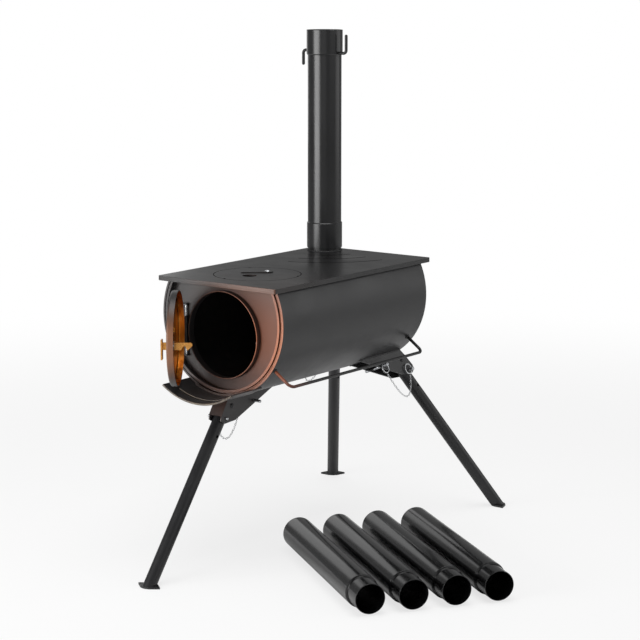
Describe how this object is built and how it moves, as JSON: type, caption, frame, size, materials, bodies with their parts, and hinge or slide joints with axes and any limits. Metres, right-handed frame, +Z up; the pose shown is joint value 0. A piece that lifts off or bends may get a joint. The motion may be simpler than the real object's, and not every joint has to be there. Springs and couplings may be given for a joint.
{
  "type": "tent wood stove",
  "caption": "Portable barrel wood stove with flat hotplate, round fire door, stub flue with hooks, folding tripod legs on pinned brackets and loose flue sections.",
  "frame": {"origin": "centre of the front foot's underside on the floor", "axes": "+Z up along the flue, -Y out of the fire door, +X to the rail side"},
  "size_m": [0.6885, 0.7514, 0.8386],
  "materials": {
    "black_stove_paint": "heat-proof matt black stove paint with a fine sheen",
    "heat_tinted_steel": "black paint browned by the heat round the fire door",
    "zinc_steel": "plain zinc-plated steel, small fittings",
    "chain_steel": "bright plated chain and rings"
  },
  "bodies": {
    "stove": {"hotplate": "black_stove_paint", "barrel_shell": "black_stove_paint", "front_plate": "heat_tinted_steel", "door_ring": "heat_tinted_steel", "back_plate": "black_stove_paint", "ember_ledge": "black_stove_paint", "hinge_bracket": "black_stove_paint", "hinge_pin": "zinc_steel", "latch_keeper": "zinc_steel", "flue_spigot": "black_stove_paint", "side_rail": "black_stove_paint", "front_leg_bracket": "black_stove_paint", "front_pivot_bolt": "black_stove_paint", "front_pin_chain": "chain_steel", "right_leg_bracket": "black_stove_paint", "right_pivot_bolt": "black_stove_paint", "right_pin_chain": "chain_steel", "left_leg_bracket": "black_stove_paint", "left_pivot_bolt": "black_stove_paint", "left_pin_chain": "chain_steel"},
    "lid": {"hotplate_lid": "black_stove_paint", "lid_rivet": "zinc_steel"},
    "swing_tab": {"lid_swing_tab": "black_stove_paint"},
    "ember_tray": {"ember_tray": "black_stove_paint"},
    "door": {"door_pan": "heat_tinted_steel", "door_knuckle": "black_stove_paint", "latch_bracket": "zinc_steel", "latch_pin": "zinc_steel", "vent_rivet": "zinc_steel"},
    "latch": {"latch_lever": "zinc_steel"},
    "air_vent": {"air_vent_disc": "black_stove_paint"},
    "flue": {"flue_section": "black_stove_paint"},
    "flue_top": {"flue_top_collar": "black_stove_paint", "guy_hook_right": "black_stove_paint", "guy_hook_left": "black_stove_paint"},
    "front_leg": {"front_leg_tube": "black_stove_paint", "front_foot": "black_stove_paint"},
    "front_lock_pin": {"front_lock_pin": "zinc_steel", "front_lock_ring": "chain_steel"},
    "front_stow_pin": {"front_stow_pin": "zinc_steel", "front_stow_ring": "chain_steel"},
    "right_leg": {"right_leg_tube": "black_stove_paint", "right_foot": "black_stove_paint"},
    "right_lock_pin": {"right_lock_pin": "zinc_steel", "right_lock_ring": "chain_steel"},
    "right_stow_pin": {"right_stow_pin": "zinc_steel", "right_stow_ring": "chain_steel"},
    "left_leg": {"left_leg_tube": "black_stove_paint", "left_foot": "black_stove_paint"},
    "left_lock_pin": {"left_lock_pin": "zinc_steel", "left_lock_ring": "chain_steel"},
    "left_stow_pin": {"left_stow_pin": "zinc_steel", "left_stow_ring": "chain_steel"},
    "loose_section_1": {"loose_flue_section_1": "black_stove_paint"},
    "loose_section_2": {"loose_flue_section_2": "black_stove_paint"},
    "loose_section_3": {"loose_flue_section_3": "black_stove_paint"},
    "loose_section_4": {"loose_flue_section_4": "black_stove_paint"}
  },
  "joints": [
    {"name": "lid_lift", "type": "slide", "parent": "stove", "child": "lid", "axis": [0, 0, 1], "range_m": [0, 0.08]},
    {"name": "swing_tab_turn", "type": "hinge", "parent": "lid", "child": "swing_tab", "pos_m": [0, 0.29844, 0.456], "axis": [0, 0, 1], "range_deg": [-60, 90]},
    {"name": "ember_tray_pull", "type": "slide", "parent": "stove", "child": "ember_tray", "axis": [0, -1, 0], "range_m": [0, 0.09]},
    {"name": "door_swing", "type": "hinge", "parent": "stove", "child": "door", "pos_m": [-0.0795, 0.18729, 0.369], "axis": [0, 0, 1], "range_deg": [-50, 56]},
    {"name": "latch_lift", "type": "hinge", "parent": "door", "child": "latch", "pos_m": [-0.0069, 0.0692, 0.369], "axis": [0.5592, -0.829, 0], "range_deg": [-10, 14]},
    {"name": "air_vent_turn", "type": "hinge", "parent": "door", "child": "air_vent", "pos_m": [-0.04619, 0.11386, 0.369], "axis": [0.829, 0.5592, 0], "range_deg": [-60, 60]},
    {"name": "flue_lift", "type": "slide", "parent": "stove", "child": "flue", "axis": [0, 0, 1], "range_m": [0, 0.06]},
    {"name": "flue_top_lift", "type": "slide", "parent": "flue", "child": "flue_top", "axis": [0, 0, 1], "range_m": [0, 0.045]},
    {"name": "front_leg_fold", "type": "hinge", "parent": "stove", "child": "front_leg", "pos_m": [0, 0.18854, 0.2548], "axis": [1, 0, 0], "range_deg": [0, 108]},
    {"name": "front_lock_pin_pull", "type": "slide", "parent": "stove", "child": "front_lock_pin", "axis": [-1, 0, 0], "range_m": [0, 0.034]},
    {"name": "front_stow_pin_pull", "type": "slide", "parent": "stove", "child": "front_stow_pin", "axis": [-1, 0, 0], "range_m": [0, 0.042]},
    {"name": "right_leg_fold", "type": "hinge", "parent": "stove", "child": "right_leg", "pos_m": [0.06622, 0.57154, 0.271], "axis": [-0.9178, 0, -0.3971], "range_deg": [0, 38]},
    {"name": "right_lock_pin_pull", "type": "slide", "parent": "stove", "child": "right_lock_pin", "axis": [0.9178, 0, 0.3971], "range_m": [0, 0.034]},
    {"name": "right_stow_pin_pull", "type": "slide", "parent": "stove", "child": "right_stow_pin", "axis": [0.9178, 0, 0.3971], "range_m": [0, 0.042]},
    {"name": "left_leg_fold", "type": "hinge", "parent": "stove", "child": "left_leg", "pos_m": [-0.06622, 0.57154, 0.271], "axis": [-0.9178, 0, 0.3971], "range_deg": [0, 98]},
    {"name": "left_lock_pin_pull", "type": "slide", "parent": "stove", "child": "left_lock_pin", "axis": [-0.9178, 0, 0.3971], "range_m": [0, 0.034]},
    {"name": "left_stow_pin_pull", "type": "slide", "parent": "stove", "child": "left_stow_pin", "axis": [-0.9178, 0, 0.3971], "range_m": [0, 0.042]},
    {"name": "loose_section_1_lift", "type": "slide", "parent": "stove", "child": "loose_section_1", "axis": [0, 0, 1], "range_m": [0, 0.1]},
    {"name": "loose_section_2_lift", "type": "slide", "parent": "stove", "child": "loose_section_2", "axis": [0, 0, 1], "range_m": [0, 0.1]},
    {"name": "loose_section_3_lift", "type": "slide", "parent": "stove", "child": "loose_section_3", "axis": [0, 0, 1], "range_m": [0, 0.1]},
    {"name": "loose_section_4_lift", "type": "slide", "parent": "stove", "child": "loose_section_4", "axis": [0, 0, 1], "range_m": [0, 0.1]}
  ]
}
